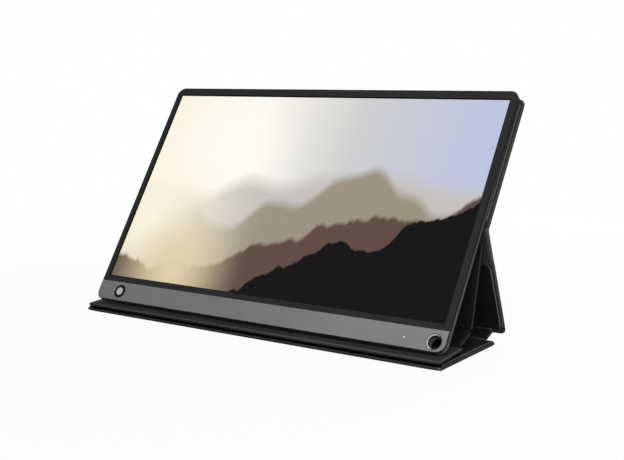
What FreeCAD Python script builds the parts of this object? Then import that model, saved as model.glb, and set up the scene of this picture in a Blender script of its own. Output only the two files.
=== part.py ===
import FreeCAD, Part
import math
import os

# A portable monitor standing on its folding cover. Lengths are in millimetres and angles in degrees.
# X runs to the right, Y to the back and Z up. The origin is on the table, under the monitor's lower front edge.

# Monitor housing and front
monitor_width = 356.0
monitor_depth = 8.5
monitor_edge = 5.0
monitor_corner = 8.0
monitor_lean = 33.0
back_taper = 14.0
housing_wall = 1.2
front_plate = 1.0
front_chamfer = 0.4
side_bezel = 5.92
top_bezel = 7.31
display_height = 193.59
display_bottom = 23.1
display_width = monitor_width - 2 * side_bezel
monitor_height = display_bottom + display_height + top_bezel
window_rounding = 0.5
chin_height = 18.1

# Layers behind the bezel
lcd_margin = 2.8
lcd_thickness = 1.2
sheet_margin = 1.6
sheet_thickness = 0.5
guide_thickness = 1.5
pan_thickness = 0.5
pan_play = 0.4
led_bar_height = 0.8
led_bar_inset = 12.0
rib_width = 2.0
rib_inset = 30.0
rib_count = 3

# Boards behind the chin
board_bottom = 7.8
board_height = 9.8
board_thickness = 0.8
board_back = 5.4
main_board_length = 108.6
board_gap = 10.0
driver_board_inset = 23.0
chip_length = 14.0
chip_height = 4.6
chip_thickness = 1.1
screw_inset = 7.0
screw_head_radius = 1.6
screw_head_thickness = 0.6
screw_shank_radius = 0.9
screw_shank_length = 1.6
boss_radius = 2.1
flex_width = 120.0
flex_thickness = 0.25
flex_overlap = 2.4

# Port in the left edge
port_height = 11.6
port_width = 8.94
port_thickness = 3.2
port_length = 7.3
port_wall = 0.3
port_tongue_thickness = 0.7
port_tongue_recess = 1.2
port_play = 0.15
port_board_gap = 0.1
main_board_left = port_length + port_board_gap - monitor_width / 2
main_board_right = main_board_left + main_board_length
driver_board_left = main_board_right + board_gap
driver_board_right = monitor_width / 2 - driver_board_inset

# Power button, status light and stylus hole in the chin
button_inset = 26.0
button_x = button_inset - monitor_width / 2
button_height = 9.4
button_radius = 4.1
button_proud = 0.3
button_seat_play = 0.15
button_travel = 0.6
button_flange_radius = 4.9
button_flange_thickness = 0.5
button_stem_radius = 1.2
button_stem_play = 0.05
button_dish = 0.25
ring_radius = 5.75
ring_proud = 0.1
button_play = 0.2
switch_side = 4.6
switch_thickness = 1.2
light_inset = 36.0
light_x = monitor_width / 2 - light_inset
light_height = 8.6
light_radius = 0.7
hole_inset = 10.4
hole_x = monitor_width / 2 - hole_inset
hole_height = 8.4
hole_radius = 5.2
hole_rim = 1.2
hole_chamfer = 0.9

# Cover leaves: a stiff board in a folded skin, closed by a lining
cover_overhang = 2.0
cover_width = monitor_width + 2 * cover_overhang
leaf_thickness = 2.8
skin_thickness = 0.7
lining_thickness = 0.5
board_play = 0.1
leaf_chamfer = 0.45
leaf_corner = 1.6
cover_corner = 6.0
crease_radius = 1.2
crease_run = 1.2
crease_play = 0.35
spine_inset = 10.0
prop_inset = 4.0
crease_inset = 2.0

# Lengths and angles along the chain of leaves
base_front = -6.4
base_length = 94.4
spine_length = 13.4
spine_thickness = 2.2
spine_angle = 21.0
leg_board_length = 64.5
web_thickness = 1.3
crease_height = 106.0
back_top_inset = 1.8
cover_gap = 0.2
fold_gap = 1.4
fold_thickness = 0.9
fold_lip = 2.4
ledge_forward = 1.5
ledge_length = 37.4
ledge_pitch = 4.0
ledge_inset = 1.0
ledge_width = cover_width - 2 * ledge_inset
monitor_rest_gap = 0.2
riser_length = 19.5
riser_angle = 21.0
prop_angle = 77.0
prop_clearance = 6.705

# Magnets that hold the monitor on the back leaf
magnet_length = 26.0
magnet_width = 8.0
magnet_thickness = 1.0
magnet_inset = 53.0
magnet_spread = monitor_width / 2 - magnet_inset
magnet_low = 28.0
magnet_top = 30.5
plate_length = 44.0
plate_width = 72.0
plate_thickness = 0.6

overrun = 1.0
near = 0.001
RIGHT_ANGLE = 90.0
HALF_TURN = 180.0

leaf_half = leaf_thickness / 2
monitor_angle = RIGHT_ANGLE - monitor_lean
os.makedirs("parts", exist_ok=True)


def step(y, z, angle, along, off=0):
    """The Y and Z reached from a point by going along a direction, then off to its left."""
    turn = math.radians(angle)
    return (
        y + along * math.cos(turn) - off * math.sin(turn),
        z + along * math.sin(turn) + off * math.cos(turn),
    )


def box(left, right, low, high, back, front):
    """A block between two values of each of X, Y and Z."""
    return Part.makeBox(right - left, high - low, front - back, FreeCAD.Vector(left, low, back))


def drum(x, y, back, front, radius):
    """A cylinder along Z between two levels."""
    return Part.makeCylinder(radius, front - back, FreeCAD.Vector(x, y, back))


def plate(width, low, high, back, front, low_corner, high_corner):
    """A flat plate centred on X, with its own corner radius at either end."""
    shape = box(-width / 2, width / 2, low, high, back, front)
    for end, radius in ((low, low_corner), (high, high_corner)):
        corners = [
            edge
            for edge in shape.Edges
            if abs(edge.BoundBox.YMin - end) < near and abs(edge.BoundBox.YMax - end) < near
            and edge.BoundBox.ZLength > near
        ]
        if radius > 0:
            shape = shape.makeFillet(radius, corners)
    return shape


def bevel(shape, level, size):
    """Takes the corner off every edge of a plate that lies at one level of Z."""
    edges = [
        edge
        for edge in shape.Edges
        if abs(edge.BoundBox.ZMin - level) < near and abs(edge.BoundBox.ZMax - level) < near
    ]
    return shape.makeChamfer(size, edges)


def outline(width, low, high, radius, level):
    """A closed outline centred on X with four round corners."""
    reach = width / 2 - radius
    centres = (
        (reach, low + radius),
        (reach, high - radius),
        (-reach, high - radius),
        (-reach, low + radius),
    )
    arcs = []
    for corner, (x, y) in enumerate(centres):
        circle = Part.Circle(FreeCAD.Vector(x, y, level), FreeCAD.Vector(0, 0, 1), radius)
        begin = math.radians(RIGHT_ANGLE * (corner - 1))
        arcs.append(Part.ArcOfCircle(circle, begin, begin + math.radians(RIGHT_ANGLE)).toShape())
    edges = []
    for this, following in zip(arcs, arcs[1:] + arcs[:1]):
        edges.append(this)
        end = this.valueAt(this.LastParameter)
        start = following.valueAt(following.FirstParameter)
        edges.append(Part.makeLine(end, start))
    return Part.Wire(edges)


def stand(shape, y, z, angle):
    """Sets a shape that was drawn flat at its place, turned up about X."""
    placed = shape.copy()
    placed.rotate(FreeCAD.Vector(0, 0, 0), FreeCAD.Vector(1, 0, 0), angle)
    placed.translate(FreeCAD.Vector(0, y, z))
    return placed


def save(name, shape):
    """Writes one piece to its own file."""
    shape.exportStep(f"parts/{name}.step")


def on_monitor(name, shape):
    """Saves a piece drawn in the monitor's frame: X across, Y up the screen, Z out of its front."""
    save(name, stand(shape, 0, monitor_foot, monitor_angle))


# Places along the chain of leaves, from the table up
base_rear = base_front + base_length
spine_axis = (base_rear + crease_run, leaf_half)
crease_start = crease_radius + crease_play
spine_reach = crease_start + spine_length + crease_run
leg_axis = step(*spine_axis, spine_angle, spine_reach)
ledge_front = step(base_front - ledge_forward, leaf_thickness + fold_gap, ledge_pitch, 0, leaf_half)
riser_axis = step(*ledge_front, ledge_pitch, ledge_length + crease_run)
riser_reach = crease_start + riser_length + crease_run
prop_axis = step(*riser_axis, riser_angle, riser_reach)

# The monitor's lower rear edge stands just clear of the ledge
rest_y = monitor_edge * math.cos(math.radians(monitor_lean))
ledge_slope = math.tan(math.radians(ledge_pitch))
ledge_top = step(*ledge_front, ledge_pitch, 0, leaf_half)
ledge_level = ledge_top[1] + (rest_y - ledge_top[0]) * ledge_slope
monitor_foot = ledge_level + monitor_rest_gap + monitor_edge * math.sin(math.radians(monitor_lean))

# The back leaf lies on the monitor's back, and the leg joins its crease to the spine
back_offset = -(monitor_depth + cover_gap + leaf_half)
back_axis = step(0, monitor_foot, monitor_angle, crease_height, back_offset)
back_length = monitor_height - back_top_inset - crease_height - crease_start
magnet_pitch = back_length - magnet_low - magnet_top
leg_length = math.dist(leg_axis, back_axis)
leg_angle = math.degrees(math.atan2(back_axis[1] - leg_axis[1], back_axis[0] - leg_axis[0]))

# The prop stops short of the line of the leg
leg_turn = math.radians(leg_angle)
leg_ahead = leg_axis[0] - prop_axis[0]
leg_above = leg_axis[1] - prop_axis[1]
leg_offset = leg_ahead * math.sin(leg_turn) - leg_above * math.cos(leg_turn)
prop_reach = leg_offset / math.sin(leg_turn - math.radians(prop_angle))
prop_length = prop_reach - crease_start - prop_clearance


def housing_form(inset, front):
    """The outer form of the housing, drawn in by an inset: a straight edge, then a back that tapers in."""
    width = monitor_width - 2 * inset
    high = monitor_height - inset
    radius = monitor_corner - inset
    rim = outline(width, inset, high, radius, -monitor_edge)
    flat = outline(
        width - 2 * back_taper,
        inset + back_taper,
        high - back_taper,
        radius,
        inset - monitor_depth,
    )
    edge = Part.Face(rim).extrude(FreeCAD.Vector(0, 0, monitor_edge + front))
    back = Part.makeLoft([rim, flat], True, True)
    return edge.fuse(back).removeSplitter()


# Front bezel: the dark frame round the screen, down to the chin
frame = plate(monitor_width, 0, monitor_height, -front_plate, 0, monitor_corner, monitor_corner)
frame = bevel(frame, 0, front_chamfer)
chin_cut = box(-monitor_width, monitor_width, -overrun, chin_height, -front_plate - overrun, overrun)
window = plate(
    display_width,
    display_bottom,
    display_bottom + display_height,
    -front_plate - overrun,
    overrun,
    window_rounding,
    window_rounding,
)
on_monitor("front_bezel", frame.cut(chin_cut).cut(window))

# Chin strip: the grey lower front, with round holes for the button, the status light and the stylus
chin = frame.common(chin_cut)
for x, y, radius in (
    (button_x, button_height, ring_radius),
    (light_x, light_height, light_radius),
    (hole_x, hole_height, hole_radius + hole_rim),
):
    chin = chin.cut(drum(x, y, -front_plate - overrun, overrun, radius))
on_monitor("chin_strip", chin)

# Screen layers, each lying on the one behind it
lcd_back = -front_plate - lcd_thickness
sheet_back = lcd_back - sheet_thickness
guide_back = sheet_back - guide_thickness
pan_back = guide_back - pan_thickness
lcd_width = display_width + 2 * lcd_margin
lcd_low = display_bottom - lcd_margin
lcd_high = display_bottom + display_height + lcd_margin
sheet_width = display_width + 2 * sheet_margin
sheet_low = display_bottom - sheet_margin
sheet_high = display_bottom + display_height + sheet_margin
on_monitor("lcd_panel", plate(lcd_width, lcd_low, lcd_high, lcd_back, -front_plate, 0, 0))
on_monitor("diffuser_sheets", plate(sheet_width, sheet_low, sheet_high, sheet_back, lcd_back, 0, 0))
guide_low = sheet_low + led_bar_height
on_monitor("light_guide", plate(sheet_width, guide_low, sheet_high, guide_back, sheet_back, 0, 0))
led_bar_width = sheet_width - 2 * led_bar_inset
on_monitor("led_bar", plate(led_bar_width, sheet_low, guide_low, guide_back, sheet_back, 0, 0))

# Back pan: a shallow tray that holds the light guide and the sheets
pan_rim = pan_play + pan_thickness
pan_low = sheet_low - pan_rim
pan_high = sheet_high + pan_rim
pan = plate(sheet_width + 2 * pan_rim, pan_low, pan_high, pan_back, lcd_back, 0, 0)
pan_pocket = plate(
    sheet_width + 2 * pan_play,
    sheet_low - pan_play,
    sheet_high + pan_play,
    guide_back,
    lcd_back + overrun,
    0,
    0,
)
on_monitor("back_pan", pan.cut(pan_pocket))

# Boards behind the chin, and the screws that hold them to bosses on the housing
board_front = board_thickness - board_back
board_top = board_bottom + board_height
board_middle = board_bottom + board_height / 2
screw_places = [
    (end + side * screw_inset, board_middle)
    for left, right in ((main_board_left, main_board_right), (driver_board_left, driver_board_right))
    for end, side in ((left + port_length, 1), (right, -1))
]


def circuit_board(left, right, chips):
    """A bare board with its row of chips on the front and holes for its screws."""
    board = box(left, right, board_bottom, board_top, -board_back, board_front)
    for chip in range(chips):
        middle = left + (right - left) * (chip + 1) / (chips + 1)
        low = board_middle - chip_height / 2
        board = board.fuse(
            box(
                middle - chip_length / 2,
                middle + chip_length / 2,
                low,
                low + chip_height,
                board_front,
                board_front + chip_thickness,
            )
        )
    for x, y in screw_places:
        board = board.cut(drum(x, y, -board_back - overrun, board_front + overrun, screw_shank_radius))
    return board


main_chips = 2
driver_chips = 3
on_monitor("main_board", circuit_board(main_board_left, main_board_right, main_chips))
on_monitor("driver_board", circuit_board(driver_board_left, driver_board_right, driver_chips))
screws = []
for x, y in screw_places:
    head = drum(x, y, board_front, board_front + screw_head_thickness, screw_head_radius)
    shank = drum(x, y, board_front - screw_shank_length, board_front, screw_shank_radius)
    screws.append(head.fuse(shank))
on_monitor("board_screws", Part.makeCompound(screws))

# Ribbon from the foot of the screen to the driver board
flex_middle = (driver_board_left + driver_board_right) / 2
flex_bend = pan_low - flex_thickness
ribbon = [
    (flex_bend, lcd_back),
    (flex_bend, board_front),
    (board_top - flex_overlap, board_front),
    (board_top - flex_overlap, board_front + flex_thickness),
    (flex_bend - flex_thickness, board_front + flex_thickness),
    (flex_bend - flex_thickness, lcd_back),
]
ribbon_points = [FreeCAD.Vector(flex_middle - flex_width / 2, y, z) for y, z in ribbon + ribbon[:1]]
ribbon_face = Part.Face(Part.makePolygon(ribbon_points))
on_monitor("panel_flex", ribbon_face.extrude(FreeCAD.Vector(flex_width, 0, 0)))


# Port: a flat oval shell open at the left edge, with a tongue inside
def oval_bar(thickness, width, low_x, high_x):
    """A bar along X whose section is a flat oval, at the port's place."""
    radius = thickness / 2
    low = port_height - width / 2
    bar = box(low_x, high_x, low, low + width, port_level - radius, port_level + radius)
    return bar.makeFillet(radius * round_share, [edge for edge in bar.Edges if edge.BoundBox.XLength > near])


round_share = 0.98
port_level = board_front + port_thickness / 2
port_left = -monitor_width / 2
port_right = port_left + port_length
port_shell = oval_bar(port_thickness, port_width, port_left, port_right)
port_mouth = oval_bar(
    port_thickness - 2 * port_wall, port_width - 2 * port_wall, port_left - overrun, port_right - port_wall
)
port_inner_width = port_width - 2 * port_thickness
port_tongue = box(
    port_left + port_tongue_recess,
    port_right,
    port_height - port_inner_width / 2 - port_tongue_thickness,
    port_height + port_inner_width / 2 + port_tongue_thickness,
    port_level - port_tongue_thickness / 2,
    port_level + port_tongue_thickness / 2,
)
on_monitor("usb_c_receptacle", port_shell.cut(port_mouth).fuse(port_tongue))

# Power button: a dished cap with a flange under its ring, and a stem over the switch
cap_back = -front_plate - button_seat_play
cap = drum(button_x, button_height, cap_back, button_proud, button_radius)
dish_radius = (button_radius**2 + button_dish**2) / (2 * button_dish)
dish_level = button_proud - button_dish + dish_radius
cap = cap.cut(Part.makeSphere(dish_radius, FreeCAD.Vector(button_x, button_height, dish_level)))
flange_back = cap_back - button_flange_thickness
flange = drum(button_x, button_height, flange_back, cap_back, button_flange_radius)
switch_top = board_front + switch_thickness
stem_back = switch_top + button_travel + button_stem_play
stem = drum(button_x, button_height, stem_back, flange_back, button_stem_radius)
on_monitor("power_button", cap.fuse(flange).fuse(stem))
ring = drum(button_x, button_height, -front_plate, ring_proud, ring_radius)
ring_bore = drum(button_x, button_height, -front_plate - overrun, overrun, button_radius + button_play)
on_monitor("button_ring", ring.cut(ring_bore))
switch_half = switch_side / 2
switch = box(
    button_x - switch_half,
    button_x + switch_half,
    button_height - switch_half,
    button_height + switch_half,
    board_front,
    switch_top,
)
on_monitor("power_switch", switch)
on_monitor("status_light", drum(light_x, light_height, board_front, 0, light_radius))

# Stylus hole: a bright sleeve right through the corner, chamfered in front
sleeve = drum(hole_x, hole_height, -monitor_depth, 0, hole_radius + hole_rim)
sleeve = sleeve.common(housing_form(0, 0))
sleeve = sleeve.cut(drum(hole_x, hole_height, -monitor_depth - overrun, overrun, hole_radius))
sleeve = sleeve.cut(
    Part.makeCone(
        hole_radius,
        hole_radius + hole_chamfer,
        hole_chamfer,
        FreeCAD.Vector(hole_x, hole_height, -hole_chamfer),
    )
)
on_monitor("hole_sleeve", sleeve)

# Rear housing: a shell with ribs behind the pan, bosses under the boards, and the port's and sleeve's cut-outs
housing = housing_form(0, -front_plate).cut(housing_form(housing_wall, overrun))
wall_back = housing_wall - monitor_depth
rib_room = lcd_high - board_top - 2 * rib_inset
for rib in range(rib_count):
    low = board_top + rib_inset + rib_room * rib / (rib_count - 1)
    rib_half = display_width / 2 - rib_inset
    rib_back = wall_back - housing_wall / 2
    housing = housing.fuse(box(-rib_half, rib_half, low, low + rib_width, rib_back, pan_back))
bosses = Part.makeCompound([drum(x, y, -monitor_depth, -board_back, boss_radius) for x, y in screw_places])
housing = housing.fuse(bosses.common(housing_form(housing_wall / 2, 0)))
for x, y in screw_places:
    depth = board_front - screw_shank_length
    housing = housing.cut(drum(x, y, depth, -board_back + overrun, screw_shank_radius))
port_slot = oval_bar(
    port_thickness + 2 * port_play, port_width + 2 * port_play, port_left - overrun, port_right
)
housing = housing.cut(port_slot)
housing = housing.cut(drum(hole_x, hole_height, -monitor_depth - overrun, overrun, hole_radius + hole_rim))
on_monitor("rear_housing", housing.removeSplitter())

# Steel plates inside the back, facing the cover's magnets
magnet_middle = crease_height + crease_start + magnet_low + magnet_pitch / 2
plates = [
    box(
        side * magnet_spread - plate_length / 2,
        side * magnet_spread + plate_length / 2,
        magnet_middle - plate_width / 2,
        magnet_middle + plate_width / 2,
        wall_back,
        wall_back + plate_thickness,
    )
    for side in (-1, 1)
]
plate_ribs = [solid.cut(housing) for solid in plates]
on_monitor("magnet_plates", Part.makeCompound(plate_ribs))


def magnet_bar(x, y):
    """A flat bar magnet under the lining of a leaf, drawn in the leaf's frame."""
    front = leaf_half - lining_thickness
    half_length = magnet_length / 2
    half_width = magnet_width / 2
    back = front - magnet_thickness
    return box(x - half_length, x + half_length, y - half_width, y + half_width, back, front)


def leaf(name, width, length, low_corner, high_corner, seat, angle, skin_up, magnets=()):
    """One stiff leaf of the cover: the skin's tray, the board in it and the lining that closes it."""
    tray = plate(width, 0, length, -leaf_half, leaf_half, low_corner, high_corner)
    tray = bevel(tray, -leaf_half, leaf_chamfer)
    tray = bevel(tray, leaf_half, leaf_chamfer)
    floor = skin_thickness - leaf_half
    lining_back = leaf_half - lining_thickness
    pocket_corners = [max(radius - skin_thickness, 0) for radius in (low_corner, high_corner)]
    inner = (width - 2 * skin_thickness, skin_thickness, length - skin_thickness)
    tray = tray.cut(plate(*inner, floor, leaf_half + overrun, *pocket_corners))
    lining = plate(*inner, lining_back, leaf_half, *pocket_corners)
    card_corners = [max(radius - board_play, 0) for radius in pocket_corners]
    card = plate(
        inner[0] - 2 * board_play,
        inner[1] + board_play,
        inner[2] - board_play,
        floor,
        lining_back,
        *card_corners,
    )
    for x, y in magnets:
        card = card.cut(magnet_bar(x, y))
    for layer, shape in (("skin", tray), ("board", card), ("lining", lining)):
        if skin_up:
            shape.rotate(FreeCAD.Vector(0, 0, 0), FreeCAD.Vector(0, 1, 0), HALF_TURN)
        save(f"{name}_{layer}", stand(shape, *seat, angle))


def crease(name, width, run, radius, seat, angle):
    """A soft fold: a flat run off the end of a leaf, with a round nose on the fold's axis."""
    strip = box(-width / 2, width / 2, 0, run, -radius, radius)
    nose = Part.makeCylinder(radius, width, FreeCAD.Vector(-width / 2, run, 0), FreeCAD.Vector(1, 0, 0))
    save(name, stand(strip.fuse(nose).removeSplitter(), *seat, angle))


spine_width = cover_width - 2 * spine_inset
spine_crease_width = spine_width - 2 * crease_inset
prop_width = cover_width - 2 * prop_inset
prop_crease_width = prop_width - 2 * crease_inset

# Base leaf, on the table, and the soft fold behind it
base_seat = (base_front, leaf_half)
leaf("base", cover_width, base_length, leaf_corner, cover_corner, base_seat, 0, False)
crease("base_crease", spine_crease_width, crease_run, crease_radius, (base_rear, leaf_half), 0)

# Front fold: the soft loop from the base round to the underside of the ledge
fold_radius = (leaf_thickness + fold_gap) / 2
loop = Part.makeCylinder(
    fold_radius,
    ledge_width,
    FreeCAD.Vector(-ledge_width / 2, base_front, fold_radius),
    FreeCAD.Vector(1, 0, 0),
)
loop_bore = Part.makeCylinder(
    fold_radius - fold_thickness,
    ledge_width,
    FreeCAD.Vector(-ledge_width / 2, base_front, fold_radius),
    FreeCAD.Vector(1, 0, 0),
)
loop = loop.cut(loop_bore)
loop_room = box(
    -cover_width,
    cover_width,
    base_front - 2 * fold_radius,
    base_front,
    -overrun,
    2 * fold_radius + overrun,
)
lip = box(
    -ledge_width / 2,
    ledge_width / 2,
    base_front,
    base_front + fold_lip,
    2 * fold_radius - fold_thickness,
    2 * fold_radius,
)
save("front_fold", loop.common(loop_room).fuse(lip).removeSplitter())

# Ledge that the monitor stands on, folded back over the base
leaf("ledge", ledge_width, ledge_length, leaf_corner, leaf_corner, ledge_front, ledge_pitch, True)
ledge_rear = step(*ledge_front, ledge_pitch, ledge_length)
crease("riser_crease", prop_crease_width, crease_run, crease_radius, ledge_rear, ledge_pitch)

# Riser and prop, which hold the triangle open behind the monitor
riser_seat = step(*riser_axis, riser_angle, crease_start)
leaf("riser", prop_width, riser_length, leaf_corner, leaf_corner, riser_seat, riser_angle, True)
riser_end = step(*riser_seat, riser_angle, riser_length)
crease("prop_crease", prop_crease_width, crease_run, crease_radius, riser_end, riser_angle)
prop_seat = step(*prop_axis, prop_angle, crease_start)
leaf("prop", prop_width, prop_length, leaf_corner, cover_corner, prop_seat, prop_angle, True)

# Spine strip between the base and the leg
spine_seat = step(*spine_axis, spine_angle, crease_start)
spine_half = spine_thickness / 2
spine = plate(spine_width, 0, spine_length, -spine_half, spine_half, leaf_corner, leaf_corner)
spine = bevel(spine, -spine_half, leaf_chamfer)
spine = bevel(spine, spine_half, leaf_chamfer)
save("spine_strip", stand(spine, *spine_seat, spine_angle))
spine_end = step(*spine_seat, spine_angle, spine_length)
crease("leg_crease", spine_crease_width, crease_run, crease_radius, spine_end, spine_angle)

# Leg, and the soft web that joins it to the back leaf
leg_seat = step(*leg_axis, leg_angle, crease_start)
leaf("leg", cover_width, leg_board_length, cover_corner, leaf_corner, leg_seat, leg_angle, False)
web_seat = step(*leg_seat, leg_angle, leg_board_length)
web_run = leg_length - crease_start - leg_board_length
crease("leg_web", cover_width, web_run, web_thickness / 2, web_seat, leg_angle)

# Back leaf on the monitor's back, with magnets let into its board
back_seat = step(*back_axis, monitor_angle, crease_start)
magnet_places = [
    (side * magnet_spread, magnet_low + row * magnet_pitch) for side in (-1, 1) for row in range(2)
]
leaf("back", cover_width, back_length, leaf_corner, cover_corner, back_seat, monitor_angle, False, magnet_places)
magnets = [magnet_bar(x, y) for x, y in magnet_places]
save("cover_magnets", stand(Part.makeCompound(magnets), *back_seat, monitor_angle))

print("monitor foot", (0, monitor_foot))
print("fold axes: spine", spine_axis, "leg", leg_axis, "back", back_axis, "riser", riser_axis, "prop", prop_axis)
print("leg angle", leg_angle, "leg length", leg_length)
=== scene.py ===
import bpy
import bmesh
import math
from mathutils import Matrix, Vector


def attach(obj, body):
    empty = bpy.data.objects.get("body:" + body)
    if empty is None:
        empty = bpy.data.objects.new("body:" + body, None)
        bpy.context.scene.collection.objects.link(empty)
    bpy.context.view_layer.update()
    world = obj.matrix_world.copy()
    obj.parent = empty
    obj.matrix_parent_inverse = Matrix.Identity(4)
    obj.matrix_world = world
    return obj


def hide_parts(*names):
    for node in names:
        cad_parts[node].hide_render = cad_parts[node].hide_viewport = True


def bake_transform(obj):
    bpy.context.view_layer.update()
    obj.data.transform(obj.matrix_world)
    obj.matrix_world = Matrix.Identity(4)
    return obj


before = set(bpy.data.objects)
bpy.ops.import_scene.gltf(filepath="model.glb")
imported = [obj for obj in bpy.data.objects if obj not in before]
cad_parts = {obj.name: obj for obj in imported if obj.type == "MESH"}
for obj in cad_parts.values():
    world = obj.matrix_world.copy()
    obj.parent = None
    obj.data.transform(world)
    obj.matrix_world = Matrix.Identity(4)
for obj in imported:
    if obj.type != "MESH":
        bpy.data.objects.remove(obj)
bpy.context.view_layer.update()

# The set: a plain pale table top in a white surround, lit by soft boxes, with the camera at the picture's
# place. None of it belongs to the object.
MM = 0.001
scene = bpy.context.scene
scene.view_settings.view_transform = "Standard"


def node(tree, kind, inputs=None, **settings):
    """A node with its settings made, and each input either linked or set."""
    made = tree.nodes.new(kind)
    for key, value in settings.items():
        setattr(made, key, value)
    for key, value in (inputs or {}).items():
        if isinstance(value, bpy.types.NodeSocket):
            tree.links.new(value, made.inputs[key])
        else:
            made.inputs[key].default_value = value
    return made


def maths(tree, operation, *values, clamp=False):
    """The output of one sum."""
    made = node(tree, "ShaderNodeMath", dict(enumerate(values)), operation=operation, use_clamp=clamp)
    return made.outputs[0]


def vector_maths(tree, operation, *values):
    """The outputs of one sum with vectors: a vector, or a value."""
    return node(tree, "ShaderNodeVectorMath", dict(enumerate(values)), operation=operation).outputs


def ranged(tree, value, begin=0.0, end=1.0, low=0.0, high=1.0, **settings):
    """A value carried over from one range to another, and held at its ends."""
    inputs = {"Value": value, "From Min": begin, "From Max": end, "To Min": low, "To Max": high}
    return node(tree, "ShaderNodeMapRange", inputs, **settings).outputs["Result"]


def seen_directly(tree):
    """One where the ray comes from the camera, a mirror or glass, and nought elsewhere."""
    path = node(tree, "ShaderNodeLightPath").outputs
    mirrored = maths(tree, "MAXIMUM", path["Is Camera Ray"], path["Is Glossy Ray"])
    return maths(tree, "MAXIMUM", mirrored, path["Is Transmission Ray"])


surround_fill = 0.07
surround = bpy.data.worlds.new("white_surround")
surround.use_nodes = True
surround.node_tree.nodes.clear()
scene.world = surround
surround_tree = surround.node_tree
surround_level = ranged(surround_tree, seen_directly(surround_tree), low=surround_fill)
surround_light = node(surround_tree, "ShaderNodeBackground", {"Color": (1, 1, 1, 1), "Strength": surround_level})
node(surround_tree, "ShaderNodeOutputWorld", {"Surface": surround_light.outputs[0]})

table_paint = bpy.data.materials.new("pale_table")
table_paint.use_nodes = True
paint = table_paint.node_tree
paint.nodes.clear()
pale = node(paint, "ShaderNodeBsdfDiffuse", {"Color": (0.6, 0.6, 0.6, 1)})
white = node(paint, "ShaderNodeEmission", {"Color": (1, 1, 1, 1), "Strength": 1.0})
table_far = vector_maths(paint, "LENGTH", node(paint, "ShaderNodeTexCoord").outputs["Object"])["Value"]
near_reach, far_reach, near_white = 0.35, 0.9, 0.96
table_fade = ranged(paint, table_far, near_reach, far_reach, near_white)
whiteness = maths(paint, "MULTIPLY", seen_directly(paint), table_fade)
table_shade = node(paint, "ShaderNodeMixShader", {0: whiteness, 1: pale.outputs[0], 2: white.outputs[0]})
node(paint, "ShaderNodeOutputMaterial", {"Surface": table_shade.outputs[0]})
table_reach = 5.0
table_level = -0.0004
table_mesh = bpy.data.meshes.new("table_top")
table_ways = ((-1, -1), (1, -1), (1, 1), (-1, 1))
table_corners = [(x * table_reach, y * table_reach, table_level) for x, y in table_ways]
table_mesh.from_pydata(table_corners, [], [(0, 1, 2, 3)])
table_mesh.materials.append(table_paint)
table = bpy.data.objects.new("table_top", table_mesh)
scene.collection.objects.link(table)


def soft_box(name, place, aim, width, height, power):
    """A rectangular lamp turned to a point."""
    lamp = bpy.data.lights.new(name, "AREA")
    lamp.shape = "RECTANGLE"
    lamp.size = width
    lamp.size_y = height
    lamp.energy = power
    holder = bpy.data.objects.new(name, lamp)
    holder.location = place
    holder.rotation_mode = "QUATERNION"
    holder.rotation_quaternion = (Vector(aim) - Vector(place)).to_track_quat("-Z", "Y")
    scene.collection.objects.link(holder)


soft_box("front_right_box", place=(0.55, -0.6, 0.6), aim=(0.08, 0.02, 0.08), width=0.6, height=0.6, power=9.4)
soft_box("front_left_box", place=(-0.9, -0.9, 0.9), aim=(0, 0.03, 0.1), width=0.9, height=0.9, power=0.3)
soft_box("side_box", place=(1.1, 0.05, 0.5), aim=(0.15, 0.05, 0.08), width=0.5, height=0.5, power=0.4)
soft_box("rear_box", place=(-0.25, 1.25, 0.5), aim=(0, 0.08, 0.08), width=1.0, height=0.6, power=22.0)

picture_width = 624
picture_rise = 30
focal_pixels = 1048.40
camera_turn = math.radians(34.409)
camera_rise = math.radians(9.889)
camera_distance = 815.79 * MM
camera_aim = Vector((62.04 * MM, 0, 69.08 * MM))
camera_back = Vector(
    (
        math.sin(camera_turn) * math.cos(camera_rise),
        -math.cos(camera_turn) * math.cos(camera_rise),
        math.sin(camera_rise),
    )
)
camera_data = bpy.data.cameras.new("camera")
camera_data.sensor_width = 36.0
camera_data.lens = focal_pixels / picture_width * camera_data.sensor_width
camera_data.shift_y = picture_rise / picture_width
camera_data.clip_start = 0.01
camera = bpy.data.objects.new("camera", camera_data)
camera.location = camera_aim + camera_back * camera_distance
camera.rotation_mode = "QUATERNION"
camera.rotation_quaternion = (-camera_back).to_track_quat("-Z", "Y")
scene.collection.objects.link(camera)
scene.camera = camera

# Rear housing: the monitor's moulded back shell of black ABS with a fine spark-eroded grain. The front parts
# clip into its rim, and its ribs and bosses carry the tray and the boards.
lean = math.radians(57.0)
monitor_foot = 10.775682
# where the painted highlight on the housing's edge lies: its depths, and the heights over which it fades
rim_starts = (1.3, 1.9)
rim_ends = (4.8, 3.4)
rim_full_height = 30
rim_faint_height = 200
rim_faintest = 0.1


def on_face(x, height, out):
    """A point given across the monitor, up its face and out of it."""
    return (
        x * MM,
        (height * math.cos(lean) - out * math.sin(lean)) * MM,
        (monitor_foot + height * math.sin(lean) + out * math.cos(lean)) * MM,
    )


def face_place(tree, x, height):
    """A point's place from a spot on the monitor's face: across it, up it and out of it."""
    place = node(tree, "ShaderNodeTexCoord").outputs["Object"]
    spot = {"Vector": place, "Location": on_face(x, height, 0), "Rotation": (lean, 0, 0)}
    return node(tree, "ShaderNodeMapping", spot, vector_type="TEXTURE").outputs[0]


def by_depth(tree, none_at, full_at):
    """A mask that grows from one depth behind the monitor's face to another, in millimetres."""
    out = node(tree, "ShaderNodeSeparateXYZ", {0: face_place(tree, 0, 0)}).outputs[2]
    return ranged(tree, out, -none_at * MM, -full_at * MM)


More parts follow.
